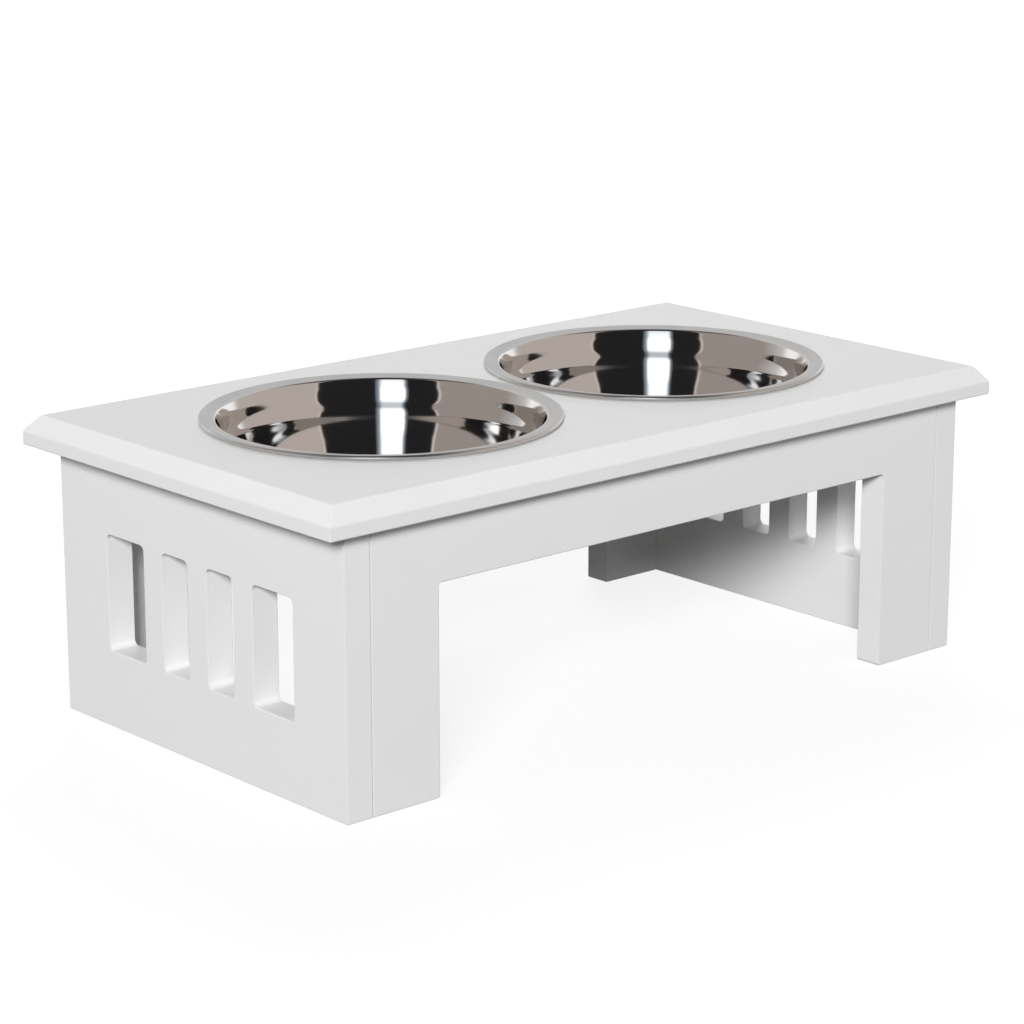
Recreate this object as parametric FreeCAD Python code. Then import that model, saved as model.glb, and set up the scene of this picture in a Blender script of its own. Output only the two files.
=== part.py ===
# Elevated dog feeder: a painted board bench that carries two drawn steel bowls.
# Millimetres, +Z up. The origin is on the floor at the centre of the footprint,
# X runs along the bench and the arched front looks towards -Y.
import FreeCAD
import Part

import math
import os

# Bowls and the margins of the top round them
BOWL_RIM_DIAMETER = 178.0
BOWL_GAP = 6.0
TOP_END_MARGIN = 39.0
TOP_FRONT_MARGIN = 32.0

# Bench
OVERALL_HEIGHT = 152.0
TOP_THICKNESS = 15.0
END_THICKNESS = 15.0
APRON_THICKNESS = 15.0
END_OVERHANG = 15.0
FRONT_OVERHANG = 9.5
BOARD_ARRIS = 0.6

# Moulded edge of the top
CHAMFER_RUN = 6.5
CHAMFER_DROP = 8.0
MOULDING_ROUND = 2.0
LOWER_ARRIS = 0.8
MITRE_ARRIS = 0.5

# Slots in the end panels
SLOT_BOTTOM_MARGIN = 39.5
SLOT_TOP_MARGIN = 38.5
OUTER_SLOT_WIDTH = 30.5
INNER_SLOT_WIDTH = 20.5
SLOT_BAR_WIDTH = 15.0
SLOT_CORNER_RADIUS = 3.0
SLOT_ARRIS = 0.5

# Arched aprons
LEG_WIDTH = 40.0
RAIL_HEIGHT = 33.5
ARCH_CORNER_RADIUS = 2.0
LEG_TOE_RADIUS = 1.5

# Bowl sheet, from the rolled rim down to the base; the wall's parts lean by degrees from upright
BOWL_SHEET = 0.7
BOWL_DEPTH = 58.0
BOWL_SEAT_GAP = 0.2
RIM_BEAD_HEIGHT = 2.6
RIM_HEM_LENGTH = 2.2
RIM_FLANGE_WIDTH = 8.0
RIM_FLANGE_FALL = 1.3
RIM_BEND_RADIUS = 1.6
LIP_HEIGHT = 5.0
LIP_DEGREES = 20.0
LIP_RADIUS = 20.0
COLLAR_HEIGHT = 5.9
COLLAR_DEGREES = 12.0
LEDGE_HEIGHT = 4.8
LEDGE_DEGREES = 25.0
LEDGE_UPPER_RADIUS = 16.0
LEDGE_LOWER_RADIUS = 14.0
SHOULDER_HEIGHT = 8.8
SHOULDER_DEGREES = 10.3
BELLY_RADIUS = 55.0
WALL_DEGREES = 20.0
BASE_RADIUS = 28.0
CUTOUT_CLEARANCE = 0.8
CUTOUT_ARRIS = 1.0

# Hidden knock-down fittings
HOLE_FLOOR = 4.0
FIT_GAP = 0.1
END_GAP = 1.0
DOWEL_DIAMETER = 8.0
DOWEL_EDGE_DEPTH = 20.0
DOWEL_CHAMFER = 1.0
LOW_DOWEL_HEIGHT = 25.0
HIGH_DOWEL_HEIGHT = 80.0
APRON_DOWEL_SPACING = 220.0
CAM_REACH = 24.0
CAM_DIAMETER = 15.0
CAM_FLOOR = 3.0
CAM_SINK = 0.2
CAM_CAVITY_DIAMETER = 10.0
CAM_CROSS_LENGTH = 9.0
CAM_CROSS_WIDTH = 1.4
CAM_CROSS_DEPTH = 1.6
CAM_SWEEP_DEGREES = 200.0
CAM_LEAD_DEGREES = 25.0
BOLT_THREAD_DIAMETER = 5.0
BOLT_COLLAR_DIAMETER = 7.0
BOLT_COLLAR_HEIGHT = 1.2
BOLT_NECK_DIAMETER = 4.0
BOLT_HEAD_DIAMETER = 6.8
BOLT_HEAD_HEIGHT = 3.2
BOLT_BORE_DIAMETER = 8.0

# Modelling aids
OVERRUN = 5.0
SAME_PLACE = 1e-6

# Sizes that follow from the ones above
BOWL_OFFSET = (BOWL_RIM_DIAMETER + BOWL_GAP) / 2
TOP_LENGTH = 2 * BOWL_RIM_DIAMETER + BOWL_GAP + 2 * TOP_END_MARGIN
TOP_DEPTH = BOWL_RIM_DIAMETER + 2 * TOP_FRONT_MARGIN
PANEL_HEIGHT = OVERALL_HEIGHT - TOP_THICKNESS
PANEL_DEPTH = TOP_DEPTH - 2 * FRONT_OVERHANG
END_FACE_X = TOP_LENGTH / 2 - END_OVERHANG
END_INNER_X = END_FACE_X - END_THICKNESS
END_MIDDLE_X = END_FACE_X - END_THICKNESS / 2
APRON_INNER_Y = PANEL_DEPTH / 2 - APRON_THICKNESS
APRON_MIDDLE_Y = PANEL_DEPTH / 2 - APRON_THICKNESS / 2
ARCH_TOP = PANEL_HEIGHT - RAIL_HEIGHT
ARCH_HALF_WIDTH = END_INNER_X - LEG_WIDTH
INNER_SLOT_Y = (SLOT_BAR_WIDTH + INNER_SLOT_WIDTH) / 2
SIDE_BAR_Y = SLOT_BAR_WIDTH + INNER_SLOT_WIDTH
OUTER_SLOT_Y = SIDE_BAR_Y + (SLOT_BAR_WIDTH + OUTER_SLOT_WIDTH) / 2
END_CAM_Y = (OUTER_SLOT_Y + OUTER_SLOT_WIDTH / 2 + APRON_INNER_Y) / 2
MOUTH_RADIUS = BOWL_RIM_DIAMETER / 2 - RIM_FLANGE_WIDTH
CUTOUT_RADIUS = MOUTH_RADIUS + BOWL_SHEET + CUTOUT_CLEARANCE

SIDES_X = {"left": -1, "right": 1}
SIDES_Y = {"front": -1, "rear": 1}
BOTH = (-1, 1)
UP = FreeCAD.Vector(0, 0, 1)


def on_xz(u, v):
    return FreeCAD.Vector(u, 0, v)


def on_yz(u, v):
    return FreeCAD.Vector(0, u, v)


def rounded_wire(corners, plane, closed=True):
    """Wire through (u, v, radius) corners: straight runs joined by tangent arcs."""
    points = [plane(u, v) for u, v, _ in corners]
    radii = [radius for _, _, radius in corners]
    count = len(points)
    spans = []
    for i, point in enumerate(points):
        open_end = not closed and i in (0, count - 1)
        if open_end or radii[i] == 0:
            spans.append((point, None, point))
            continue
        back = (points[i - 1] - point).normalize()
        ahead = (points[(i + 1) % count] - point).normalize()
        half_angle = back.getAngle(ahead) / 2
        reach = radii[i] / math.tan(half_angle)
        inwards = (back + ahead).normalize()
        depth = radii[i] / math.sin(half_angle) - radii[i]
        spans.append((point + back * reach, point + inwards * depth, point + ahead * reach))
    edges = []
    for i, (start, middle, end) in enumerate(spans):
        if middle is not None:
            edges.append(Part.Arc(start, middle, end).toShape())
        if not closed and i == count - 1:
            continue
        following = spans[(i + 1) % count][0]
        if end.distanceToPoint(following) > SAME_PLACE:
            edges.append(Part.LineSegment(end, following).toShape())
    return Part.Wire(edges)


def rectangle(width, bottom, top, radius, plane, centre=0.0):
    left = centre - width / 2
    right = centre + width / 2
    corners = [(left, bottom, radius), (right, bottom, radius), (right, top, radius), (left, top, radius)]
    return rounded_wire(corners, plane)


def edges_in_plane(shape, axis, place):
    """Edges that lie flat in the plane where the named coordinate has the given value."""
    low = axis + "Min"
    high = axis + "Max"
    found = []
    for edge in shape.Edges:
        box = edge.BoundBox
        if abs(getattr(box, low) - place) < SAME_PLACE and abs(getattr(box, high) - place) < SAME_PLACE:
            found.append(edge)
    return found


def cylinder(diameter, start, end):
    """Cylinder about Z from one height to another."""
    return Part.makeCylinder(diameter / 2, end - start, FreeCAD.Vector(0, 0, start))


def fitting_frame(origin, into_face, to_cam_face):
    """Local frame of a fitting: Z runs into the board met face on, X towards the cam's open face."""
    across = into_face.cross(to_cam_face)
    return FreeCAD.Placement(origin, FreeCAD.Rotation(to_cam_face, across, into_face, "ZXY"))


def placed(shape, frame):
    copy = shape.copy()
    copy.Placement = frame.multiply(copy.Placement)
    return copy


def corner_frame(side_x, side_y, height):
    origin = FreeCAD.Vector(side_x * END_INNER_X, side_y * APRON_MIDDLE_Y, height)
    return fitting_frame(origin, FreeCAD.Vector(side_x, 0, 0), FreeCAD.Vector(0, -side_y, 0))


def end_top_frame(side_x, y):
    origin = FreeCAD.Vector(side_x * END_MIDDLE_X, y, PANEL_HEIGHT)
    return fitting_frame(origin, UP, FreeCAD.Vector(-side_x, 0, 0))


def apron_top_frame(side_y, x):
    origin = FreeCAD.Vector(x, side_y * APRON_MIDDLE_Y, PANEL_HEIGHT)
    return fitting_frame(origin, UP, FreeCAD.Vector(0, -side_y, 0))


def corner_dowel_frames(side_x, side_y):
    return [corner_frame(side_x, side_y, height) for height in (LOW_DOWEL_HEIGHT, HIGH_DOWEL_HEIGHT)]


def corner_cam_frame(side_x, side_y):
    return corner_frame(side_x, side_y, ARCH_TOP + RAIL_HEIGHT / 2)


def end_dowel_frames(side_x):
    return [end_top_frame(side_x, side * SIDE_BAR_Y) for side in BOTH]


def end_cam_frames(side_x):
    return [end_top_frame(side_x, side * END_CAM_Y) for side in BOTH]


def apron_dowel_frames(side_y):
    return [apron_top_frame(side_y, side * APRON_DOWEL_SPACING / 2) for side in BOTH]


def blind_depth(thickness):
    return thickness - HOLE_FLOOR


def dowel(face_thickness):
    """Dowel that stands in the face of one board and the edge of the other."""
    body = cylinder(DOWEL_DIAMETER, -DOWEL_EDGE_DEPTH, blind_depth(face_thickness) - END_GAP)
    rims = [edge for edge in body.Edges if len(edge.Vertexes) == 1]
    return body.makeChamfer(DOWEL_CHAMFER, rims)


def dowel_hole(face_thickness):
    return cylinder(DOWEL_DIAMETER + 2 * FIT_GAP, -DOWEL_EDGE_DEPTH - END_GAP, blind_depth(face_thickness))


def cam_bolt(face_thickness):
    """Bolt screwed into the face of one board, with its head caught in the cam of the other."""
    thread = cylinder(BOLT_THREAD_DIAMETER, 0, blind_depth(face_thickness) - END_GAP)
    collar = cylinder(BOLT_COLLAR_DIAMETER, -BOLT_COLLAR_HEIGHT, 0)
    neck = cylinder(BOLT_NECK_DIAMETER, -CAM_REACH, -BOLT_COLLAR_HEIGHT)
    half_head = BOLT_HEAD_HEIGHT / 2
    head = cylinder(BOLT_HEAD_DIAMETER, -CAM_REACH - half_head, -CAM_REACH + half_head)
    return thread.multiFuse([collar, neck, head]).removeSplitter()


def bolt_pilot(face_thickness):
    return cylinder(BOLT_THREAD_DIAMETER + 2 * FIT_GAP, 0, blind_depth(face_thickness))


def cam_seat(edge_thickness):
    """Cam bore and bolt bore, as one cutter for the board that holds the cam."""
    open_face = edge_thickness / 2
    bore_start = FreeCAD.Vector(CAM_FLOOR - open_face, 0, -CAM_REACH)
    bore_length = edge_thickness - CAM_FLOOR + OVERRUN
    bore = Part.makeCylinder(CAM_DIAMETER / 2 + FIT_GAP, bore_length, bore_start, FreeCAD.Vector(1, 0, 0))
    return bore.fuse(cylinder(BOLT_BORE_DIAMETER, -CAM_REACH, 0))


def cam_lock(edge_thickness):
    """Cam disc with its bolt pocket, neck slot, entry window and cross recess."""
    along = FreeCAD.Vector(1, 0, 0)
    centre = FreeCAD.Vector(0, 0, -CAM_REACH)
    open_face = edge_thickness / 2 - CAM_SINK
    back_face = CAM_FLOOR + FIT_GAP - edge_thickness / 2
    body = Part.makeCylinder(CAM_DIAMETER / 2, open_face - back_face, centre + along * back_face, along)

    pocket_half = BOLT_HEAD_DIAMETER / 2 + FIT_GAP
    pocket_start = centre - along * pocket_half
    pocket = Part.makeCylinder(CAM_CAVITY_DIAMETER / 2, 2 * pocket_half, pocket_start, along)

    slot_half = BOLT_NECK_DIAMETER / 2 + FIT_GAP
    slot_start = FreeCAD.Vector(0, 0, -slot_half)
    slot = Part.makeCylinder(CAM_DIAMETER, 2 * slot_half, slot_start, UP, CAM_SWEEP_DEGREES)
    slot.rotate(FreeCAD.Vector(), UP, -CAM_LEAD_DEGREES)
    slot = placed(slot, FreeCAD.Placement(centre, FreeCAD.Rotation(UP, along * -1, along, "ZXY")))

    window = Part.makeCylinder(pocket_half, CAM_DIAMETER, centre, UP * -1)

    cutters = [pocket, slot, window]
    for turn in (0, 90):
        corner = FreeCAD.Vector(open_face - CAM_CROSS_DEPTH, -CAM_CROSS_LENGTH / 2, -CAM_CROSS_WIDTH / 2)
        bar = Part.makeBox(CAM_CROSS_DEPTH + OVERRUN, CAM_CROSS_LENGTH, CAM_CROSS_WIDTH, corner + centre)
        bar.rotate(centre, along, turn)
        cutters.append(bar)
    return body.cut(cutters)


def drilled(shape, cutters):
    return shape.cut(cutters).removeSplitter()


def moulding_outline(width, plane):
    """Sharp section of the top: an upright band under a sloping chamfer."""
    half = width / 2
    band_top = OVERALL_HEIGHT - CHAMFER_DROP
    corners = [
        (-half, PANEL_HEIGHT, 0),
        (half, PANEL_HEIGHT, 0),
        (half, band_top, 0),
        (half - CHAMFER_RUN, OVERALL_HEIGHT, 0),
        (CHAMFER_RUN - half, OVERALL_HEIGHT, 0),
        (-half, band_top, 0),
    ]
    return rounded_wire(corners, plane)


def extruded(wire, direction, length):
    face = Part.Face(wire)
    face.translate(direction * (-length / 2))
    return face.extrude(direction * length)


def moulded_board():
    """Blank of the top: the moulding meets itself in mitres, and every edge is eased."""
    along_x = extruded(moulding_outline(TOP_DEPTH, on_yz), FreeCAD.Vector(1, 0, 0), TOP_LENGTH + OVERRUN)
    along_y = extruded(moulding_outline(TOP_LENGTH, on_xz), FreeCAD.Vector(0, 1, 0), TOP_DEPTH + OVERRUN)
    board = along_x.common(along_y)
    moulded_heights = (OVERALL_HEIGHT - CHAMFER_DROP, OVERALL_HEIGHT)
    moulded_edges = [edge for z in moulded_heights for edge in edges_in_plane(board, "Z", z)]
    board = board.makeFillet(MOULDING_ROUND, moulded_edges)
    board = board.makeFillet(LOWER_ARRIS, edges_in_plane(board, "Z", PANEL_HEIGHT))
    mitres = [edge for edge in board.Edges if edge.BoundBox.ZLength > SAME_PLACE]
    return board.makeFillet(MITRE_ARRIS, mitres)


def top_panel():
    board = moulded_board()
    for side in BOTH:
        hole = cylinder(2 * CUTOUT_RADIUS, PANEL_HEIGHT - OVERRUN, OVERALL_HEIGHT + OVERRUN)
        hole.translate(FreeCAD.Vector(side * BOWL_OFFSET, 0, 0))
        board = board.cut(hole)
    hole_rims = [edge for edge in board.Edges if len(edge.Vertexes) == 1]
    board = board.makeFillet(CUTOUT_ARRIS, hole_rims)

    cutters = []
    for side in BOTH:
        for frame in end_dowel_frames(side) + apron_dowel_frames(side):
            cutters.append(placed(dowel_hole(TOP_THICKNESS), frame))
        for frame in end_cam_frames(side):
            cutters.append(placed(bolt_pilot(TOP_THICKNESS), frame))
    return drilled(board, cutters)


def slot_cutter(side_x, y, width):
    slot_top = PANEL_HEIGHT - SLOT_TOP_MARGIN
    wire = rectangle(width, SLOT_BOTTOM_MARGIN, slot_top, SLOT_CORNER_RADIUS, on_yz, y)
    cutter = extruded(wire, FreeCAD.Vector(1, 0, 0), END_THICKNESS + OVERRUN)
    cutter.translate(FreeCAD.Vector(side_x * END_MIDDLE_X, 0, 0))
    return cutter


def rims_a_slot(edge):
    """True for an edge of the end panel's face that is not part of its outer outline."""
    middle = edge.BoundBox.Center
    inside_width = abs(middle.y) < PANEL_DEPTH / 2 - 2 * BOARD_ARRIS
    inside_height = 2 * BOARD_ARRIS < middle.z < PANEL_HEIGHT - 2 * BOARD_ARRIS
    return inside_width and inside_height


def end_panel(side_x):
    outline = rectangle(PANEL_DEPTH, 0, PANEL_HEIGHT, BOARD_ARRIS, on_yz)
    board = extruded(outline, FreeCAD.Vector(1, 0, 0), END_THICKNESS)
    board.translate(FreeCAD.Vector(side_x * END_MIDDLE_X, 0, 0))
    faces_x = (side_x * END_FACE_X, side_x * END_INNER_X)
    board = board.makeFillet(BOARD_ARRIS, [edge for x in faces_x for edge in edges_in_plane(board, "X", x)])

    for side in BOTH:
        board = board.cut(slot_cutter(side_x, side * INNER_SLOT_Y, INNER_SLOT_WIDTH))
        board = board.cut(slot_cutter(side_x, side * OUTER_SLOT_Y, OUTER_SLOT_WIDTH))
    slot_rims = [edge for x in faces_x for edge in edges_in_plane(board, "X", x) if rims_a_slot(edge)]
    board = board.makeFillet(SLOT_ARRIS, slot_rims)

    cutters = []
    for side_y in BOTH:
        for frame in corner_dowel_frames(side_x, side_y):
            cutters.append(placed(dowel_hole(END_THICKNESS), frame))
        cutters.append(placed(bolt_pilot(END_THICKNESS), corner_cam_frame(side_x, side_y)))
    for frame in end_dowel_frames(side_x):
        cutters.append(placed(dowel_hole(TOP_THICKNESS), frame))
    for frame in end_cam_frames(side_x):
        cutters.append(placed(cam_seat(END_THICKNESS), frame))
    return drilled(board, cutters)


def arch_outline():
    """Two legs under a rail, with eased toes and routed inner corners."""
    half = END_INNER_X
    corners = [
        (-half, 0, BOARD_ARRIS),
        (-ARCH_HALF_WIDTH, 0, LEG_TOE_RADIUS),
        (-ARCH_HALF_WIDTH, ARCH_TOP, ARCH_CORNER_RADIUS),
        (ARCH_HALF_WIDTH, ARCH_TOP, ARCH_CORNER_RADIUS),
        (ARCH_HALF_WIDTH, 0, LEG_TOE_RADIUS),
        (half, 0, BOARD_ARRIS),
        (half, PANEL_HEIGHT, BOARD_ARRIS),
        (-half, PANEL_HEIGHT, BOARD_ARRIS),
    ]
    return rounded_wire(corners, on_xz)


def apron(side_y):
    board = extruded(arch_outline(), FreeCAD.Vector(0, 1, 0), APRON_THICKNESS)
    board.translate(FreeCAD.Vector(0, side_y * APRON_MIDDLE_Y, 0))
    faces_y = (side_y * PANEL_DEPTH / 2, side_y * APRON_INNER_Y)
    board = board.makeFillet(BOARD_ARRIS, [edge for y in faces_y for edge in edges_in_plane(board, "Y", y)])

    cutters = []
    for side_x in BOTH:
        for frame in corner_dowel_frames(side_x, side_y):
            cutters.append(placed(dowel_hole(END_THICKNESS), frame))
        cutters.append(placed(cam_seat(APRON_THICKNESS), corner_cam_frame(side_x, side_y)))
    for frame in apron_dowel_frames(side_y):
        cutters.append(placed(dowel_hole(TOP_THICKNESS), frame))
    return drilled(board, cutters)


def bowl_path():
    """Face of the sheet that shows, from the hem under the rim to the middle of the base."""
    rim = BOWL_RIM_DIAMETER / 2
    bead_low = OVERALL_HEIGHT + BOWL_SEAT_GAP
    bead_high = bead_low + RIM_BEAD_HEIGHT
    flange_slope = math.atan2(RIM_FLANGE_FALL, RIM_FLANGE_WIDTH)
    bead_radius = RIM_BEAD_HEIGHT / (1 + math.tan(math.pi / 4 + flange_slope / 2))
    base_height = OVERALL_HEIGHT - BOWL_DEPTH
    radius = MOUTH_RADIUS
    height = bead_high - RIM_FLANGE_FALL
    upper_height = LIP_HEIGHT + COLLAR_HEIGHT + LEDGE_HEIGHT + SHOULDER_HEIGHT
    wall_parts = [
        (LIP_HEIGHT, LIP_DEGREES, LIP_RADIUS),
        (COLLAR_HEIGHT, COLLAR_DEGREES, LEDGE_UPPER_RADIUS),
        (LEDGE_HEIGHT, LEDGE_DEGREES, LEDGE_LOWER_RADIUS),
        (SHOULDER_HEIGHT, SHOULDER_DEGREES, BELLY_RADIUS),
        (height - upper_height - base_height, WALL_DEGREES, BASE_RADIUS),
    ]
    corners = [
        (rim - bead_radius - RIM_HEM_LENGTH, bead_low, 0),
        (rim, bead_low, bead_radius),
        (rim, bead_high, bead_radius),
        (radius, height, RIM_BEND_RADIUS),
    ]
    for drop, lean, bend in wall_parts:
        radius -= drop * math.tan(math.radians(lean))
        height -= drop
        corners.append((radius, height, bend))
    corners.append((0, base_height, 0))
    return rounded_wire(corners, on_xz, closed=False)


def bowl(side_x):
    section = bowl_path().makeOffset2D(BOWL_SHEET, fill=True, openResult=True)
    shell = section.revolve(FreeCAD.Vector(), UP, 360)
    shell.translate(FreeCAD.Vector(side_x * BOWL_OFFSET, 0, 0))
    return shell


def group(shapes):
    return shapes[0] if len(shapes) == 1 else Part.makeCompound(shapes)


def all_nodes():
    nodes = {"top_panel": top_panel()}
    for name_x, side_x in SIDES_X.items():
        nodes[name_x + "_end_panel"] = end_panel(side_x)
        nodes[name_x + "_bowl"] = bowl(side_x)
        top_dowels = [placed(dowel(TOP_THICKNESS), frame) for frame in end_dowel_frames(side_x)]
        top_bolts = [placed(cam_bolt(TOP_THICKNESS), frame) for frame in end_cam_frames(side_x)]
        top_locks = [placed(cam_lock(END_THICKNESS), frame) for frame in end_cam_frames(side_x)]
        nodes["top_dowels_" + name_x] = group(top_dowels)
        nodes["top_cam_bolts_" + name_x] = group(top_bolts)
        nodes["top_cam_locks_" + name_x] = group(top_locks)
    for name_y, side_y in SIDES_Y.items():
        nodes[name_y + "_apron"] = apron(side_y)
        top_dowels = [placed(dowel(TOP_THICKNESS), frame) for frame in apron_dowel_frames(side_y)]
        nodes["top_dowels_" + name_y] = group(top_dowels)
        for name_x, side_x in SIDES_X.items():
            corner = name_y + "_" + name_x
            frame = corner_cam_frame(side_x, side_y)
            dowels = [placed(dowel(END_THICKNESS), place) for place in corner_dowel_frames(side_x, side_y)]
            nodes["corner_dowels_" + corner] = group(dowels)
            nodes["corner_cam_bolt_" + corner] = placed(cam_bolt(END_THICKNESS), frame)
            nodes["corner_cam_lock_" + corner] = placed(cam_lock(APRON_THICKNESS), frame)
    return nodes


os.makedirs("parts", exist_ok=True)
for name, shape in all_nodes().items():
    shape.exportStep("parts/" + name + ".step")
    print(name, len(shape.Solids), shape.isValid(), round(shape.Volume))
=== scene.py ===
"""Elevated dog feeder: satin white bench with two polished steel bowls, in a pale studio."""

import math

import bmesh
import bpy
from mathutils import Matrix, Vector


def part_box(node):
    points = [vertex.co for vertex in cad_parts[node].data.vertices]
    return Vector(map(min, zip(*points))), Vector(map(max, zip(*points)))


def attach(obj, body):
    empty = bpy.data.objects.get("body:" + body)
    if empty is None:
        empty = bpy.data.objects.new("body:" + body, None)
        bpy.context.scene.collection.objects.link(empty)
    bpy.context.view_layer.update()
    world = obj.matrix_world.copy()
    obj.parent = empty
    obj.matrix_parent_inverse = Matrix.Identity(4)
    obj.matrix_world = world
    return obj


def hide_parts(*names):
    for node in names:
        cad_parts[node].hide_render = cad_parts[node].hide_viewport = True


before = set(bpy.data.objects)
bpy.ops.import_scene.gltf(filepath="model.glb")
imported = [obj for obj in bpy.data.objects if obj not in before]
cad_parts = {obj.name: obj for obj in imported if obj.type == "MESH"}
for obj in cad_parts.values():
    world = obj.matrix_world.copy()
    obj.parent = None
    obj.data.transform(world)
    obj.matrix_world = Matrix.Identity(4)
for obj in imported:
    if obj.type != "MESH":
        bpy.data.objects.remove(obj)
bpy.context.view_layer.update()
scene = bpy.context.scene
MM = 0.001

# Axes, and the names that nodes share
AXIS_X = 0
AXIS_Y = 1
AXIS_Z = 2
ALONG = Vector((1, 0, 0))
UP = Vector((0, 0, 1))
SIDES = ("left", "right")
CORNERS = ("front_left", "front_right", "rear_left", "rear_right")
BOARDS = ("top_panel", "left_end_panel", "right_end_panel", "front_apron", "rear_apron")

# Bowl, as pressed from sheet
RIM_BEAD_HEIGHT = 2.6 * MM
RIM_FLANGE_WIDTH = 8.0 * MM
RIM_FLANGE_FALL = 1.3 * MM
RIM_SLOPE = math.atan2(RIM_FLANGE_FALL, RIM_FLANGE_WIDTH)
BOWL = {
    "Rim Radius": 89.0 * MM,
    "Seat Height": 152.2 * MM,
    "Bead Height": RIM_BEAD_HEIGHT,
    "Bead Radius": RIM_BEAD_HEIGHT / (1 + math.tan(math.pi / 4 + RIM_SLOPE / 2)),
    "Hem Length": 2.2 * MM,
    "Flange Width": RIM_FLANGE_WIDTH,
    "Flange Fall": RIM_FLANGE_FALL,
    "Bend Radius": 1.6 * MM,
    "Wall Lean": math.radians(20.0),
    "Base Height": 94.0 * MM,
    "Base Radius": 28.0 * MM,
}
BOWL_SHEET = 0.7 * MM

# Upper parts of the bowl's wall, from the mouth down: height, lean from upright, rounding at the foot
WALL_PARTS = {
    "Lip": (5.0 * MM, math.radians(20.0), 20.0 * MM),
    "Collar": (5.9 * MM, math.radians(12.0), 16.0 * MM),
    "Ledge": (4.8 * MM, math.radians(25.0), 14.0 * MM),
    "Shoulder": (8.8 * MM, math.radians(10.3), 55.0 * MM),
}
for part, (part_height, part_lean, part_round) in WALL_PARTS.items():
    BOWL[part + " Height"] = part_height
    BOWL[part + " Lean"] = part_lean
    BOWL[part + " Round"] = part_round

# How far past the mouth the wall's polish goes, as a share of the bend there
POLISHED_BEND_SHARE = 0.4

# Hidden fittings
DOWEL = {
    "Radius": 4.0 * MM,
    "Length": 30.0 * MM,
    "Chamfer": 1.0 * MM,
    "Flutes": 16.0,
    "Flute Depth": 0.3 * MM,
}
BOLT = {
    "Thread Radius": 2.5 * MM,
    "Thread Depth": 0.55 * MM,
    "Thread Pitch": 1.8 * MM,
    "Thread Length": 10.0 * MM,
    "Collar Radius": 3.5 * MM,
    "Collar Height": 1.2 * MM,
    "Neck Radius": 2.0 * MM,
    "Reach": 24.0 * MM,
    "Head Radius": 3.4 * MM,
    "Head Height": 3.2 * MM,
    "Easing": 0.3 * MM,
}

# Shares of the thread's core: the flat tip of a bolt, and the part of that tip with no thread on it
BOLT_TIP_SHARE = 0.6
BARE_TIP_SHARE = 0.5

# How finely turned pieces are drawn: steps round them, and the longest step along their outline
BOWL_STEPS = 240
BOWL_LONGEST_STEP = 2.0 * MM
DOWEL_STEPS = 128
DOWEL_LONGEST_STEP = 10.0 * MM
BOLT_STEPS = 32
BOLT_LONGEST_STEP = 0.3 * MM

# Points of a turned piece that lie this near each other become one, which closes its seam and its poles
SEAM_GAP = 0.001 * MM

# Points on each rounding of an outline
BEAD_POINTS = 8
BEND_POINTS = 12
WALL_POINTS = 10
BASE_POINTS = 30
EASING_POINTS = 3

# Where the painted shade on upright edges fades out: below the top's underside, and inside the ends' outer
# faces
UNDERSIDE_FADE = (1.0 * MM, 0.2 * MM)
END_FACE_FADE = (5.0 * MM, 2.0 * MM)

# Camera: place in metres, tilt and turn in degrees, lens and sensor in millimetres
CAMERA_PLACE = (-1.0385, -1.1634, 0.5062)
CAMERA_DOWNWARD_TILT = 15.018
CAMERA_TURN = -41.561
LENS_LENGTH = 111.04
SENSOR_WIDTH = 36.0

# Soft lamps: place and aim in metres, width and height in metres, power in watts
LOW_AIM = (0.0, 0.0, 0.08)
HIGH_AIM = (0.0, 0.0, 0.15)
LAMPS = {
    "key_softbox": dict(place=(-6.182, -5.469, 3.669), aim=LOW_AIM, width=2.7, height=1.8, power=930.0),
    "back_softbox": dict(place=(1.3, 1.5, 2.2), aim=HIGH_AIM, width=1.2, height=1.2, power=31.0),
    "fill_softbox": dict(place=(1.7, -2.43, 0.5), aim=LOW_AIM, width=1.2, height=0.5, power=6.0),
    "rear_softbox": dict(place=(2.1, 2.1, 0.5), aim=LOW_AIM, width=1.5, height=0.6, power=20.0),
}

# Floor and world. The floor's own glow grows from near the bench to further off, in metres
WHITE = (1.0, 1.0, 1.0)
FLOOR_HALF_WIDTH = 12.0
FLOOR_PAPER = (0.06, 0.061, 0.064)
FLOOR_SHADE = (0.2, 0.2, 0.2)
FLOOR_GLOW_NEAR = 0.84
FLOOR_GLOW_FAR = 0.98
GLOW_NEAR_DISTANCE = 0.35
GLOW_FAR_DISTANCE = 1.2
SOFT_LIGHT_TINT = (0.96, 0.98, 1.0)
SOFT_LIGHT_STRENGTH = 0.12

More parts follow.
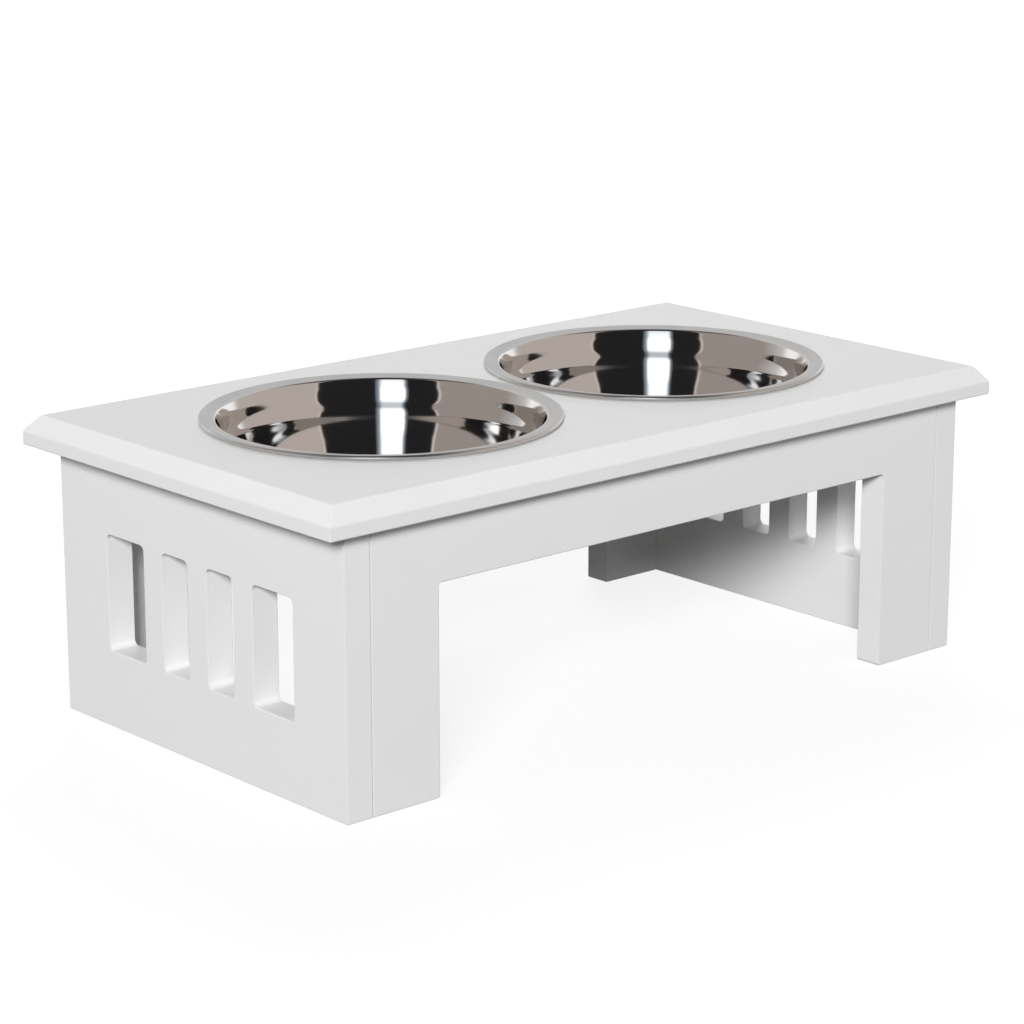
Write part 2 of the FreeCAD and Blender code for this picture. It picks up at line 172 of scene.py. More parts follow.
# Room that polished steel mirrors. Bearings are degrees from +X towards +Y, and rises are degrees from level.
# A stretch is its low end, its high end and the softness of both. Each part covers the ones before it.
ALL_ROUND = ((-200.0, 200.0, 1.0),)
FULL_HEIGHT = (-100.0, 100.0, 1.0)
STRIP_BEARINGS = ((-146.7, -129.4, 1.3),)
COOL_WALL_TONE = (0.72, 0.72, 0.725)
ROOM_PARTS = {
    "warm_wall": dict(
        bearings=((-200.0, 2.0, 14.0),),
        rises=FULL_HEIGHT,
        tone=(0.6, 0.537, 0.503),
    ),
    "shaded_wall": dict(
        bearings=((-200.0, -127.0, 5.0), (118.0, 200.0, 12.0)),
        rises=FULL_HEIGHT,
        tone=(0.41, 0.365, 0.342),
    ),
    "low_glints": dict(
        bearings=((-3.0, 34.0, 4.0), (84.0, 104.0, 4.0)),
        rises=(-1.0, 15.0, 3.0),
        tone=(1.2, 1.2, 1.2),
    ),
    "dark_ceiling": dict(
        bearings=ALL_ROUND,
        rises=(55.0, 100.0, 6.0),
        tone=(0.12, 0.122, 0.13),
    ),
    "pale_screen_edges": dict(
        bearings=((-82.9, -81.3, 0.5), (-173.7, -172.1, 0.5)),
        rises=(-90.0, 30.0, 5.0),
        tone=(0.8, 0.73, 0.69),
    ),
    "dark_screen": dict(
        bearings=((-171.5, -83.0, 0.7),),
        rises=FULL_HEIGHT,
        tone=(0.021, 0.02, 0.021),
    ),
    "blue_fringe_of_strip": dict(
        bearings=((-148.3, -126.6, 1.8),),
        rises=(-90.0, 38.0, 9.0),
        tone=(0.46, 0.55, 0.64),
    ),
    "upper_end_of_strip": dict(
        bearings=STRIP_BEARINGS,
        rises=(-90.0, 40.0, 6.0),
        tone=(0.95, 1.02, 1.1),
    ),
    "light_strip": dict(
        bearings=STRIP_BEARINGS,
        rises=(-90.0, 27.0, 7.0),
        tone=(2.4, 2.4, 2.4),
    ),
}

# Room's shell, which comes nearer round one end of the dark screen
ROOM_RADIUS = 8.0
ROOM_COLUMNS = 128
ROOM_ROWS = 48
NEAR_BEARING = math.radians(-75.0)
NEAR_HALF_WIDTH = math.radians(60.0)
NEARER_SHARE = 0.71


class Size:
    """Number that a socket carries, so that sums of sizes become Math nodes."""

    def __init__(self, tree, socket):
        self.tree = tree
        self.socket = socket

    def math(self, operation, other=0.0):
        return Size(self.tree, output(self.tree, "ShaderNodeMath", {0: self, 1: other}, operation=operation))

    def __add__(self, other):
        return self.math("ADD", other)

    def __sub__(self, other):
        return self.math("SUBTRACT", other)

    def __mul__(self, other):
        return self.math("MULTIPLY", other)

    def __truediv__(self, other):
        return self.math("DIVIDE", other)

    def __neg__(self):
        return self * -1.0

    def absolute(self):
        return self.math("ABSOLUTE")

    def kept_from_zero_to_one(self):
        return self.math("MINIMUM", 1.0).math("MAXIMUM", 0.0)


def give(tree, socket, value):
    """Links a socket to a size or to another node's socket, or sets it to a plain value."""
    if isinstance(value, Size):
        value = value.socket
    if isinstance(value, bpy.types.NodeSocket):
        tree.links.new(value, socket)
    else:
        socket.default_value = value


def add_node(tree, kind, inputs=None, **settings):
    """Adds a node. Settings are its own choices; inputs are plain values, sizes or sockets."""
    made = tree.nodes.new(kind)
    for name, value in settings.items():
        setattr(made, name, value)
    for key, value in (inputs or {}).items():
        give(tree, made.inputs[key], value)
    return made


def output(tree, kind, inputs=None, **settings):
    """First output of a new node."""
    return add_node(tree, kind, inputs, **settings).outputs[0]


def point(tree, x, y, z):
    return output(tree, "ShaderNodeCombineXYZ", {0: x, 1: y, 2: z})


def split(tree, place):
    """The three numbers of a point or a direction."""
    return [Size(tree, socket) for socket in add_node(tree, "ShaderNodeSeparateXYZ", {0: place}).outputs]


def length_of(tree, place):
    made = add_node(tree, "ShaderNodeVectorMath", {0: place}, operation="LENGTH")
    return Size(tree, made.outputs["Value"])


def stored(tree, geometry, name, value, kind, domain="POINT"):
    """Geometry that also carries a value under a name."""
    return output(tree, "GeometryNodeStoreNamedAttribute",
                  {"Geometry": geometry, "Name": name, "Value": value}, data_type=kind, domain=domain)


def recalled(tree, name, kind="FLOAT"):
    """Value that a geometry carries under a name."""
    return output(tree, "GeometryNodeInputNamedAttribute", {"Name": name}, data_type=kind)


def shape_tree(name, sizes):
    """Tree with a named input for each size, and those inputs as numbers to reckon with."""
    tree = bpy.data.node_groups.new(name, "GeometryNodeTree")
    tree.interface.new_socket("Geometry", in_out="OUTPUT", socket_type="NodeSocketGeometry")
    tree.interface.new_socket("Places", in_out="INPUT", socket_type="NodeSocketGeometry")
    for size_name in sizes:
        tree.interface.new_socket(size_name, in_out="INPUT", socket_type="NodeSocketFloat")
    given = tree.nodes.new("NodeGroupInput")
    return tree, given.outputs["Places"], {key: Size(tree, given.outputs[key]) for key in sizes}


def sharp(radius, height):
    """Corner of an outline with no rounding."""
    return radius, height, 0.0, 1


def by_corner(tree, kind, values):
    """Takes the values in turn along the corners of an outline."""
    chooser = add_node(tree, "GeometryNodeIndexSwitch", data_type=kind)
    while len(chooser.index_switch_items) < len(values):
        chooser.index_switch_items.new()
    give(tree, chooser.inputs[0], output(tree, "GeometryNodeInputIndex"))
    for socket, value in zip(list(chooser.inputs)[1:], values):
        give(tree, socket, value)
    return chooser.outputs[0]


def outline_of(tree, corners, longest_step):
    """Outline through (radius, height, rounding, points on the rounding), with long runs divided."""
    line = output(tree, "GeometryNodeMeshLine", {"Count": len(corners)})
    curve = output(tree, "GeometryNodeMeshToCurve", {"Mesh": line})
    places = by_corner(tree, "VECTOR", [point(tree, radius, 0.0, height) for radius, height, _, _ in corners])
    rounding = by_corner(tree, "FLOAT", [bend for _, _, bend, _ in corners])
    counts = by_corner(tree, "INT", [count for _, _, _, count in corners])
    curve = output(tree, "GeometryNodeSetPosition", {"Geometry": curve, "Position": places})
    fillet = {"Curve": curve, "Radius": rounding, "Count": counts, "Limit Radius": True}
    curve = output(tree, "GeometryNodeFilletCurve", fillet, mode="POLY")
    here = output(tree, "GeometryNodeInputPosition")
    index = output(tree, "GeometryNodeInputIndex")
    following = output(tree, "FunctionNodeIntegerMath", {0: index, 1: 1}, operation="ADD")
    ahead = output(tree, "GeometryNodeFieldAtIndex", {"Index": following, "Value": here},
                   data_type="FLOAT_VECTOR")
    run = add_node(tree, "ShaderNodeVectorMath", {0: here, 1: ahead}, operation="DISTANCE").outputs["Value"]
    steps = Size(tree, run) / longest_step
    cuts = output(tree, "FunctionNodeFloatToInt", {0: steps}, rounding_mode="FLOOR")
    curve = output(tree, "GeometryNodeSubdivideCurve", {"Curve": curve, "Cuts": cuts})
    length = add_node(tree, "GeometryNodeSplineParameter").outputs["Length"]
    curve = stored(tree, curve, "run", length, "FLOAT")
    return output(tree, "GeometryNodeCurveToMesh", {"Curve": curve})


def turned(tree, outline, steps, ripple=None):
    """Turns an outline about Z. A ripple takes (radius, height, angle) and gives the radius there."""
    columns = steps + 1
    rows = add_node(tree, "GeometryNodeAttributeDomainSize", {"Geometry": outline}).outputs["Point Count"]
    grid = output(tree, "GeometryNodeMeshGrid", {"Vertices X": rows, "Vertices Y": columns})
    index = output(tree, "GeometryNodeInputIndex")
    row = output(tree, "FunctionNodeIntegerMath", {0: index, 1: columns}, operation="DIVIDE_FLOOR")
    column = output(tree, "FunctionNodeIntegerMath", {0: index, 1: columns}, operation="MODULO")

    def along_outline(kind, value):
        return output(tree, "GeometryNodeSampleIndex", {"Geometry": outline, "Value": value, "Index": row},
                      data_type=kind, domain="POINT")

    place = along_outline("FLOAT_VECTOR", output(tree, "GeometryNodeInputPosition"))
    radius, _, height = split(tree, place)
    run = along_outline("FLOAT", recalled(tree, "run"))
    around = Size(tree, column) / float(steps)
    angle = around * math.tau
    if ripple:
        radius = ripple(radius, height, angle)
    on_circle = point(tree, radius * angle.math("COSINE"), radius * angle.math("SINE"), height)
    skin = output(tree, "GeometryNodeSetPosition", {"Geometry": grid, "Position": on_circle})
    skin = stored(tree, skin, "around", around, "FLOAT")
    skin = stored(tree, skin, "run", run, "FLOAT")
    unrolled = point(tree, recalled(tree, "around"), recalled(tree, "run"), 0.0)
    skin = stored(tree, skin, "turned", unrolled, "FLOAT2", "CORNER")
    merged = output(tree, "GeometryNodeMergeByDistance", {"Geometry": skin, "Distance": SEAM_GAP})
    flipped = output(tree, "GeometryNodeFlipFaces", {"Mesh": merged})
    return output(tree, "GeometryNodeSetShadeSmooth", {"Geometry": flipped})


def close_tree(tree, geometry, *finishes):
    """Ends a tree: real geometry, then each (material, selection of faces) in turn."""
    geometry = output(tree, "GeometryNodeRealizeInstances", {"Geometry": geometry})
    for material, selection in finishes:
        geometry = output(tree, "GeometryNodeSetMaterial",
                          {"Geometry": geometry, "Material": material, "Selection": selection})
    add_node(tree, "NodeGroupOutput", {0: geometry})
    return tree


def made_piece(name, tree, sizes, places, sharp_degrees, sheet=0.0):
    """Plain mesh that a tree makes at the given places, as an object with no modifier."""
    start = bpy.data.objects.new(name + "_start", places)
    scene.collection.objects.link(start)
    shaper = start.modifiers.new("shape", "NODES")
    shaper.node_group = tree
    for item in tree.interface.items_tree:
        if item.name in sizes:
            shaper[item.identifier] = sizes[item.name]
    if sheet:
        wall = start.modifiers.new("sheet", "SOLIDIFY")
        wall.thickness = sheet
        wall.offset = -1.0
        wall.use_even_offset = True
    graph = bpy.context.evaluated_depsgraph_get()
    shaped = start.evaluated_get(graph)
    mesh = bpy.data.meshes.new_from_object(shaped, preserve_all_data_layers=True, depsgraph=graph)
    bpy.data.objects.remove(start)
    mesh.name = name
    mesh.set_sharp_from_angle(angle=math.radians(sharp_degrees))
    piece = bpy.data.objects.new(name, mesh)
    scene.collection.objects.link(piece)
    return piece


def place_marks(name, marks):
    """Bare points that carry the direction of the piece that stands there."""
    mesh = bpy.data.meshes.new(name)
    mesh.from_pydata([mark for mark, _ in marks], [], [])
    directions = mesh.attributes.new("direction", "FLOAT_VECTOR", "POINT")
    for item, (_, direction) in zip(directions.data, marks):
        item.vector = direction
    return mesh


def at_marks(tree, places, shape):
    """Stands a copy of the shape at each mark, with its Z along the mark's direction."""
    direction = recalled(tree, "direction", "FLOAT_VECTOR")
    turn = output(tree, "FunctionNodeAlignRotationToVector", {"Vector": direction}, axis="Z")
    copies = {"Points": places, "Instance": shape, "Rotation": turn}
    return output(tree, "GeometryNodeInstanceOnPoints", copies)


def bowl_tree(polished, satin):
    """Bowl from its hem over the bead and the flange, and down the wall to the middle of its base."""
    tree, places, size = shape_tree("bowl", BOWL)
    bead_low = size["Seat Height"]
    bead_high = bead_low + size["Bead Height"]
    mouth = size["Rim Radius"] - size["Flange Width"]
    radius = mouth
    height = bead_high - size["Flange Fall"]
    hem = size["Rim Radius"] - size["Bead Radius"] - size["Hem Length"]
    corners = [
        sharp(hem, bead_low),
        (size["Rim Radius"], bead_low, size["Bead Radius"], BEAD_POINTS),
        (size["Rim Radius"], bead_high, size["Bead Radius"], BEAD_POINTS),
        (mouth, height, size["Bend Radius"], BEND_POINTS),
    ]
    for part in WALL_PARTS:
        radius = radius - size[part + " Height"] * size[part + " Lean"].math("TANGENT")
        height = height - size[part + " Height"]
        corners.append((radius, height, size[part + " Round"], WALL_POINTS))
    foot = radius - (height - size["Base Height"]) * size["Wall Lean"].math("TANGENT")
    corners += [
        (foot, size["Base Height"], size["Base Radius"], BASE_POINTS),
        sharp(0.0, size["Base Height"]),
    ]
    skin = turned(tree, outline_of(tree, corners, BOWL_LONGEST_STEP), BOWL_STEPS)
    x, y, _ = split(tree, output(tree, "GeometryNodeInputPosition"))
    reach = length_of(tree, point(tree, x, y, 0.0))
    polish_end = mouth + size["Bend Radius"] * POLISHED_BEND_SHARE
    beyond = output(tree, "FunctionNodeCompare", {0: reach, 1: polish_end}, operation="GREATER_THAN")
    skin = stored(tree, skin, "on_rim", beyond, "BOOLEAN", "FACE")
    on_rim = recalled(tree, "on_rim", "BOOLEAN")
    return close_tree(tree, at_marks(tree, places, skin), (polished, True), (satin, on_rim))


def dowel_tree(beech):
    """Dowel with chamfered ends and flutes along it."""
    tree, places, size = shape_tree("dowel", DOWEL)
    radius = size["Radius"]
    half = size["Length"] / 2.0
    tip = radius - size["Chamfer"]
    shoulder = half - size["Chamfer"]
    corners = [
        sharp(0.0, half),
        sharp(tip, half),
        sharp(radius, shoulder),
        sharp(radius, -shoulder),
        sharp(tip, -half),
        sharp(0.0, -half),
    ]

    def fluted(reach, _, angle):
        groove = (angle * size["Flutes"]).math("COSINE").math("MAXIMUM", 0.0)
        return reach * (-(groove * size["Flute Depth"] / radius) + 1.0)

    skin = turned(tree, outline_of(tree, corners, DOWEL_LONGEST_STEP), DOWEL_STEPS, fluted)
    skin = stored(tree, skin, "grain", output(tree, "GeometryNodeInputPosition"), "FLOAT_VECTOR")
    return close_tree(tree, at_marks(tree, places, skin), (beech, True))


def bolt_tree(steel):
    """Cam bolt from the tip of its thread over the collar and the neck to its head."""
    tree, places, size = shape_tree("cam_bolt", BOLT)
    core = size["Thread Radius"] - size["Thread Depth"]
    head_low = -size["Reach"] - size["Head Height"] / 2.0
    head_high = head_low + size["Head Height"]
    collar_low = -size["Collar Height"]
    easing = size["Easing"]
    corners = [
        sharp(0.0, size["Thread Length"]),
        (core * BOLT_TIP_SHARE, size["Thread Length"], easing, EASING_POINTS),
        (core, size["Thread Length"] - core, easing, EASING_POINTS),
        sharp(core, 0.0),
        (size["Collar Radius"], 0.0, easing, EASING_POINTS),
        (size["Collar Radius"], collar_low, easing, EASING_POINTS),
        sharp(size["Neck Radius"], collar_low),
        sharp(size["Neck Radius"], head_high),
        (size["Head Radius"], head_high, easing, EASING_POINTS),
        (size["Head Radius"], head_low, easing, EASING_POINTS),
        sharp(0.0, head_low),
    ]

    def threaded(reach, height, angle):
        turns = height / size["Thread Pitch"] - angle / math.tau
        ridge = -(turns.math("FRACT") * 2.0 - 1.0).absolute() + 1.0
        rise = (height / size["Thread Pitch"]).kept_from_zero_to_one()
        fall = ((size["Thread Length"] - height) / core).kept_from_zero_to_one()
        on_shank = reach.math("GREATER_THAN", core * BARE_TIP_SHARE)
        return reach + ridge * rise * fall * on_shank * size["Thread Depth"]

    skin = turned(tree, outline_of(tree, corners, BOLT_LONGEST_STEP), BOLT_STEPS, threaded)
    return close_tree(tree, at_marks(tree, places, skin), (steel, True))


def new_finish(name):
    material = bpy.data.materials.new(name)
    material.use_nodes = True
    return material, material.node_tree


def noise(tree, place, scale, detail):
    made = add_node(tree, "ShaderNodeTexNoise", {"Vector": place, "Scale": scale, "Detail": detail})
    return Size(tree, made.outputs["Fac"])


def spread(tree, value, low, high, start=0.3, end=0.7):
    """Maps a stretch of a number, as a rule the middle of a noise, to a range of values."""
    stretch = {"Value": value, "From Min": start, "From Max": end, "To Min": low, "To Max": high}
    return Size(tree, output(tree, "ShaderNodeMapRange", stretch))


def opaque(tone):
    return (*tone, 1.0)


def blend_colours(tree, share, first, second):
    """Mix of two colours, each plain numbers or another node's colour."""
    made = add_node(tree, "ShaderNodeMix", {"Factor": share}, data_type="RGBA")
    colour_sockets = [socket for socket in made.inputs if socket.type == "RGBA"]
    for socket, colour in zip(colour_sockets, (first, second)):
        give(tree, socket, opaque(colour) if isinstance(colour, tuple) else colour)
    return next(socket for socket in made.outputs if socket.type == "RGBA")


def relief(tree, height, depth, under=None):
    """Bump of the given depth in metres, over another one."""
    made = add_node(tree, "ShaderNodeBump", {"Strength": 1.0, "Distance": depth, "Height": height})
    if under is not None:
        give(tree, made.inputs["Normal"], under)
    return made.outputs[0]


def lay_finish(tree, tone, roughness, surface, metallic=0.0):
    """Joins the parts of a finish to its shader."""
    shader = tree.nodes["Principled BSDF"]
    shader.inputs["Metallic"].default_value = metallic
    give(tree, shader.inputs["Base Color"], tone)
    give(tree, shader.inputs["Roughness"], roughness)
    give(tree, shader.inputs["Normal"], surface)


def painted_edge_shade(tree, coordinates):
    """1 on the upright edges of the boards, where shade is painted over the highlight the key lamp puts on
    them, but not in the round holes of the top.
    """
    across, _, height = split(tree, coordinates["Object"])
    facing_x, facing_y, _ = split(tree, coordinates["Normal"])
    aslant = facing_x.absolute().math("MINIMUM", facing_y.absolute())
    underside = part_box("top_panel")[0].z
    end_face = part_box("right_end_panel")[1].x
    below_top = spread(tree, height, 1.0, 0.0, *(underside - fade for fade in UNDERSIDE_FADE))
    outer = spread(tree, across.absolute(), 0.0, 1.0, *(end_face - fade for fade in END_FACE_FADE))
    return spread(tree, aslant, 0.0, 1.0, start=0.3, end=0.5) * below_top.math("MAXIMUM", outer)


def satin_white_paint():
    """Sprayed white lacquer on fibreboard: soft sheen, orange peel, faint clouding, and painted shade on
    upright edges.
    """
    material, tree = new_finish("satin_white_paint")
    cloud_tone = (0.795, 0.797, 0.795)
    clear_tone = (0.83, 0.83, 0.825)
    # Darker grey painted on upright edges as shade over their highlight
    edge_shade_tone = (0.6, 0.6, 0.592)
    coordinates = add_node(tree, "ShaderNodeTexCoord").outputs
    place = coordinates["Object"]
    clouds = noise(tree, place, scale=22.0, detail=3.0)
    peel = noise(tree, place, scale=620.0, detail=2.0)
    tooth = noise(tree, place, scale=2600.0, detail=1.0)
    tone = blend_colours(tree, clouds, cloud_tone, clear_tone)
    # Painted shade: upright edges are darkened so that they don't shine as bright lines in the key lamp's
    # light.
    tone = blend_colours(tree, painted_edge_shade(tree, coordinates), tone, edge_shade_tone)
    sheen = spread(tree, clouds, low=0.4, high=0.48)
    surface = relief(tree, tooth, depth=0.004 * MM, under=relief(tree, peel, depth=0.02 * MM))
    lay_finish(tree, tone, sheen, surface)
    return material


def ring_noise(tree, fine, slow, detail):
    """Noise that runs round a turned piece in lines, fine across them and slow along them."""
    place = output(tree, "ShaderNodeUVMap", uv_map="turned")
    around, run, _ = split(tree, place)
    angle = around * math.tau
    stretched = point(tree, angle.math("COSINE") * slow, angle.math("SINE") * slow, run * fine)
    return noise(tree, stretched, scale=1.0, detail=detail)


def polished_steel():
    """Buffed wall of a bowl: near mirror with faint rings left by the buffing wheel."""
    material, tree = new_finish("polished_bowl_steel")
    dark_tone = (0.66, 0.64, 0.62)
    pale_tone = (0.71, 0.695, 0.68)
    rings = ring_noise(tree, fine=1400.0, slow=1.5, detail=3.0)
    haze = ring_noise(tree, fine=60.0, slow=2.0, detail=2.0)
    tone = blend_colours(tree, haze, dark_tone, pale_tone)
    shine = spread(tree, haze, low=0.04, high=0.085)
    lay_finish(tree, tone, shine, relief(tree, rings, depth=0.0022 * MM), metallic=1.0)
    return material


def satin_rim_steel():
    """Brushed rim of a bowl: fine lines round it, soft grey shine."""
    material, tree = new_finish("satin_rim_steel")
    dark_tone = (0.6, 0.59, 0.575)
    pale_tone = (0.7, 0.69, 0.68)
    rings = ring_noise(tree, fine=2600.0, slow=3.0, detail=3.0)
    haze = ring_noise(tree, fine=90.0, slow=3.0, detail=2.0)
    tone = blend_colours(tree, rings, dark_tone, pale_tone)
    shine = spread(tree, haze, low=0.28, high=0.38)
    lay_finish(tree, tone, shine, relief(tree, rings, depth=0.003 * MM), metallic=1.0)
    return material


def beech_wood():
    """Bare beech of a dowel: pale straight grain with short dark flecks along it."""
    material, tree = new_finish("dowel_beech")
    dark_tone = (0.5, 0.31, 0.17)
    pale_tone = (0.66, 0.46, 0.28)
    grain_stretch = (1.0, 1.0, 0.08)
    grain_place = add_node(tree, "ShaderNodeAttribute", attribute_name="grain").outputs["Vector"]
    stretched = output(tree, "ShaderNodeMapping", {"Vector": grain_place, "Scale": grain_stretch})
    bands = noise(tree, stretched, scale=700.0, detail=4.0)
    flecks = noise(tree, stretched, scale=2600.0, detail=1.0)
    tone = blend_colours(tree, spread(tree, bands, 0.0, 1.0), dark_tone, pale_tone)
    dullness = spread(tree, flecks, low=0.55, high=0.75)
    lay_finish(tree, tone, dullness, relief(tree, flecks, depth=0.03 * MM))
    return material


def plated_steel():
    """Bright zinc plate of the bolts, with a faint yellow bloom."""
    material, tree = new_finish("zinc_plated_bolt_steel")
    blue_tone = (0.58, 0.6, 0.62)
    yellow_tone = (0.68, 0.65, 0.55)
    place = add_node(tree, "ShaderNodeTexCoord").outputs["Object"]
    bloom = noise(tree, place, scale=320.0, detail=3.0)
    grit = noise(tree, place, scale=3500.0, detail=2.0)
    tone = blend_colours(tree, bloom, blue_tone, yellow_tone)
    shine = spread(tree, bloom, low=0.26, high=0.4)
    lay_finish(tree, tone, shine, relief(tree, grit, depth=0.006 * MM), metallic=1.0)
    return material


def cast_zinc():
    """Grey die-cast zinc of the cams: matt skin with a fine grain and dull spots."""
    material, tree = new_finish("die_cast_cam_zinc")
    dark_tone = (0.4, 0.41, 0.42)
    pale_tone = (0.56, 0.56, 0.55)
    place = add_node(tree, "ShaderNodeTexCoord").outputs["Object"]
    spots = noise(tree, place, scale=420.0, detail=4.0)
    skin = noise(tree, place, scale=2800.0, detail=3.0)
    tone = blend_colours(tree, spots, dark_tone, pale_tone)
    dullness = spread(tree, spots, low=0.42, high=0.6)
    lay_finish(tree, tone, dullness, relief(tree, skin, depth=0.02 * MM), metallic=0.9)
    return material


def paired(node, axis, radius):
    """Centres of two like fittings at the two ends of a node's box along one axis."""
    low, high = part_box(node)
    places = []
    for end in (low[axis] + radius, high[axis] - radius):
        centre = (low + high) / 2
        centre[axis] = end
        places.append(centre)
    return places


def dowel_marks():
    """Middle and direction of each dowel."""
    marks = []
    for corner in CORNERS:
        for place in paired("corner_dowels_" + corner, AXIS_Z, DOWEL["Radius"]):
            marks.append((place, ALONG))
    for side, axis in (("left", AXIS_Y), ("right", AXIS_Y), ("front", AXIS_X), ("rear", AXIS_X)):
        for place in paired("top_dowels_" + side, axis, DOWEL["Radius"]):
            marks.append((place, UP))
    return marks


def bolt_marks():
    """Foot of the thread and direction of each cam bolt."""
    marks = []
    for corner in CORNERS:
        low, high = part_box("corner_cam_bolt_" + corner)
        place = (low + high) / 2
        outwards = -1.0 if corner.endswith("left") else 1.0
        tip = low.x if outwards < 0 else high.x
        place.x = tip - outwards * BOLT["Thread Length"]
        marks.append((place, ALONG * outwards))
    for side in SIDES:
        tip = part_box("top_cam_bolts_" + side)[1].z
        for place in paired("top_cam_bolts_" + side, AXIS_Y, BOLT["Collar Radius"]):
            place.z = tip - BOLT["Thread Length"]
            marks.append((place, UP))
    return marks


def dress_bench():
    """Boards and cams keep their solids and get their finishes."""
    paint = satin_white_paint()
    zinc = cast_zinc()
    locks = ["corner_cam_lock_" + corner for corner in CORNERS]
    locks += ["top_cam_locks_" + side for side in SIDES]
    for names, finish in ((BOARDS, paint), (locks, zinc)):
        for name in names:
            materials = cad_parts[name].data.materials
            materials.clear()
            materials.append(finish)


def lay_bowls():
    tree = bowl_tree(polished_steel(), satin_rim_steel())
    for side in SIDES:
        node = side + "_bowl"
        low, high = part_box(node)
        centre = Vector(((low.x + high.x) / 2, (low.y + high.y) / 2, 0.0))
        places = place_marks(side + "_bowl_place", [(centre, UP)])
        piece = made_piece("pressed_" + side + "_bowl", tree, BOWL, places,
                           sharp_degrees=50.0, sheet=BOWL_SHEET)
        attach(piece, node)
        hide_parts(node)


def fit_dowels():
    places = place_marks("dowel_places", dowel_marks())
    piece = made_piece("fluted_dowels", dowel_tree(beech_wood()), DOWEL, places, sharp_degrees=25.0)
    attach(piece, "stand")
    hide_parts(*["corner_dowels_" + corner for corner in CORNERS],
                *["top_dowels_" + side for side in ("left", "right", "front", "rear")])


def fit_bolts():
    places = place_marks("bolt_places", bolt_marks())
    piece = made_piece("threaded_cam_bolts", bolt_tree(plated_steel()), BOLT, places, sharp_degrees=40.0)
    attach(piece, "stand")
    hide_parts(*["corner_cam_bolt_" + corner for corner in CORNERS],
                "top_cam_bolts_left", "top_cam_bolts_right")


def softbox(name, place, aim, width, height, power):
    """Soft lamp that metal doesn't mirror, because the room that shines in the steel is the studio dome's."""
    lamp = bpy.data.lights.new(name, "AREA")
    lamp.shape = "RECTANGLE"
    lamp.size = width
    lamp.size_y = height
    lamp.energy = power
    box = bpy.data.objects.new(name, lamp)
    box.location = place
    box.rotation_euler = (Vector(aim) - Vector(place)).to_track_quat("-Z", "Y").to_euler()
    box.visible_glossy = False
    scene.collection.objects.link(box)


def seen_directly(tree):
    """1 for what the camera sees, straight or in metal or glass, and 0 for light on its way to a surface."""
    path = add_node(tree, "ShaderNodeLightPath").outputs
    seen = Size(tree, path["Is Camera Ray"]).math("MAXIMUM", Size(tree, path["Is Glossy Ray"]))
    return seen.math("MAXIMUM", Size(tree, path["Is Transmission Ray"]))


def stage_piece(name, mesh, material):
    """Object that belongs to the studio and not to the feeder."""
    mesh.materials.append(material)
    piece = bpy.data.objects.new(name, mesh)
    scene.collection.objects.link(piece)
    return piece


def pale_floor():
    """White sweep under the bench that keeps its soft shadow."""
    mesh = bpy.data.meshes.new("studio_floor")
    half = FLOOR_HALF_WIDTH
    corners = [(-half, -half, 0), (half, -half, 0), (half, half, 0), (-half, half, 0)]
    mesh.from_pydata(corners, [], [(0, 1, 2, 3)])
    material, tree = new_finish("white_studio_floor")
    tree.nodes.clear()
    paper = output(tree, "ShaderNodeBsdfDiffuse", {"Color": opaque(FLOOR_PAPER)})
    shade = output(tree, "ShaderNodeBsdfDiffuse", {"Color": opaque(FLOOR_SHADE)})
    distance = length_of(tree, add_node(tree, "ShaderNodeTexCoord").outputs["Object"])
    whiter = spread(tree, distance, FLOOR_GLOW_NEAR, FLOOR_GLOW_FAR, GLOW_NEAR_DISTANCE, GLOW_FAR_DISTANCE)
    glow = output(tree, "ShaderNodeEmission", {"Color": opaque(WHITE), "Strength": whiter})
    sweep = output(tree, "ShaderNodeAddShader", {0: shade, 1: glow})
    shown = output(tree, "ShaderNodeMixShader", {0: seen_directly(tree), 1: paper, 2: sweep})
    add_node(tree, "ShaderNodeOutputMaterial", {"Surface": shown})
    stage_piece("studio_floor", mesh, material)


def studio_world():
    """Even soft light, and a white background where it shows."""
    world = bpy.data.worlds.new("pale_studio")
    scene.world = world
    world.use_nodes = True
    tree = world.node_tree
    tree.nodes.clear()
    soft_light = {"Color": opaque(SOFT_LIGHT_TINT), "Strength": SOFT_LIGHT_STRENGTH}
    soft = output(tree, "ShaderNodeBackground", soft_light)
    white = output(tree, "ShaderNodeBackground", {"Color": opaque(WHITE), "Strength": 1.0})
    lit = output(tree, "ShaderNodeMixShader", {0: seen_directly(tree), 1: soft, 2: white})
    add_node(tree, "ShaderNodeOutputWorld", {"Surface": lit})


def between(value, low, high, soft):
    """1 where a number lies between two bounds, with soft edges."""
    rise = spread(value.tree, value, 0.0, 1.0, low - soft, low + soft)
    fall = spread(value.tree, value, 1.0, 0.0, high - soft, high + soft)
    return rise * fall


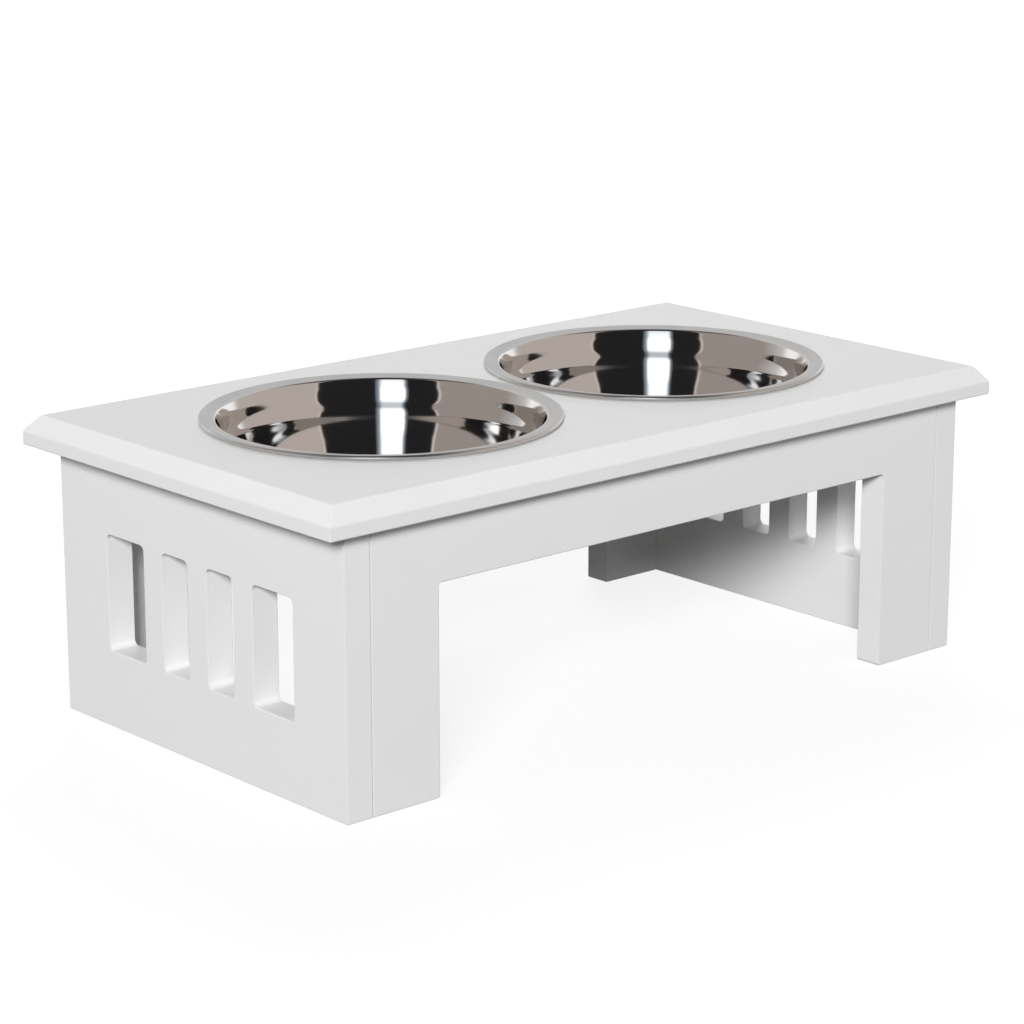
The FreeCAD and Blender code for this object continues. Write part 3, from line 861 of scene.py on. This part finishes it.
def dome_shell():
    """Sphere round the bench, part of which stands nearer, so each bowl sees it in another direction."""
    mesh = bpy.data.meshes.new("studio_dome")
    shell = bmesh.new()
    bmesh.ops.create_uvsphere(shell, u_segments=ROOM_COLUMNS, v_segments=ROOM_ROWS, radius=ROOM_RADIUS)
    for corner in shell.verts:
        turn = math.atan2(corner.co.y, corner.co.x) - NEAR_BEARING
        if abs(turn) < NEAR_HALF_WIDTH:
            nearness = math.cos(turn / NEAR_HALF_WIDTH * math.pi / 2) ** 2
            corner.co *= 1.0 - NEARER_SHARE * nearness
    shell.to_mesh(mesh)
    shell.free()
    return mesh


def studio_dome():
    """Room that shows only in reflections: warm walls, a dark screen and a white strip of light."""
    material, tree = new_finish("studio_room")
    material.cycles.emission_sampling = "NONE"
    tree.nodes.clear()
    place = add_node(tree, "ShaderNodeTexCoord").outputs["Object"]
    x, y, z = split(tree, output(tree, "ShaderNodeVectorMath", {0: place}, operation="NORMALIZE"))
    bearing = y.math("ARCTAN2", x) * math.degrees(1.0)
    rise = z.math("ARCSINE") * math.degrees(1.0)
    colour = COOL_WALL_TONE
    for part in ROOM_PARTS.values():
        first, *others = [between(bearing, *stretch) for stretch in part["bearings"]]
        share = first
        for other in others:
            share = share + other
        colour = blend_colours(tree, share * between(rise, *part["rises"]), colour, part["tone"])
    glow = output(tree, "ShaderNodeEmission", {"Color": colour})
    add_node(tree, "ShaderNodeOutputMaterial", {"Surface": glow})
    dome = stage_piece("studio_dome", dome_shell(), material)
    for rays in ("camera", "diffuse", "transmission", "volume_scatter", "shadow"):
        setattr(dome, "visible_" + rays, False)


def set_camera():
    lens = bpy.data.cameras.new("camera")
    lens.lens = LENS_LENGTH
    lens.sensor_width = SENSOR_WIDTH
    camera = bpy.data.objects.new("camera", lens)
    camera.location = CAMERA_PLACE
    camera.rotation_euler = (math.radians(90.0 - CAMERA_DOWNWARD_TILT), 0.0, math.radians(CAMERA_TURN))
    scene.collection.objects.link(camera)
    scene.camera = camera


dress_bench()
lay_bowls()
fit_dowels()
fit_bolts()
pale_floor()
studio_world()
studio_dome()
for lamp_name, lamp_settings in LAMPS.items():
    softbox(lamp_name, **lamp_settings)
set_camera()
scene.view_settings.view_transform = "Standard"
